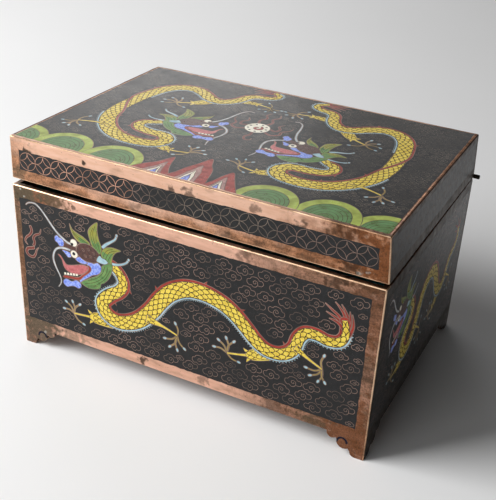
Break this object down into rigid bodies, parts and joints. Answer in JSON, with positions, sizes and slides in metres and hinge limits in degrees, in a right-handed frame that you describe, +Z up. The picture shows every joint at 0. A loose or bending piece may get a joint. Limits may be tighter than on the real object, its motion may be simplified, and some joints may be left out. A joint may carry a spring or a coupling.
{
  "type": "cloisonne enamel box",
  "caption": "Rectangular enamelled copper box on bracket feet, with enamel panels let into its walls and a hinged lid that swings back past upright, for holding small things.",
  "frame": {"origin": "on the surface that the box stands on, under the middle of the object's box, hinge pin included", "axes": "+X to the right along the front, +Y from the front to the hinge at the back, +Z up"},
  "size_m": [0.1678, 0.1159, 0.1003],
  "materials": {
    "copper": "worn copper with a brown patina",
    "dark_pin_metal": "darkened metal",
    "black_enamel": "satin enamel with fine copper wires",
    "lid_top_enamel": "satin enamel picture with fine copper wires"
  },
  "bodies": {
    "box": {"box_body": "copper", "body_hinge_knuckle_1": "copper", "body_hinge_knuckle_2": "copper", "body_hinge_knuckle_3": "copper", "hinge_pin": "dark_pin_metal", "front_enamel_panel": "black_enamel", "right_enamel_panel": "black_enamel", "back_enamel_panel": "black_enamel", "left_enamel_panel": "black_enamel"},
    "lid": {"lid": "copper", "lid_hinge_knuckle_1": "copper", "lid_hinge_knuckle_2": "copper", "lid_top_enamel": "lid_top_enamel", "lid_front_enamel_band": "black_enamel", "lid_right_enamel_band": "black_enamel", "lid_back_enamel_band": "black_enamel", "lid_left_enamel_band": "black_enamel"}
  },
  "joints": [
    {"name": "lid_hinge", "type": "hinge", "parent": "box", "child": "lid", "pos_m": [0, 0.05628, 0.0784], "axis": [-1, 0, 0], "range_deg": [0, 105]}
  ]
}
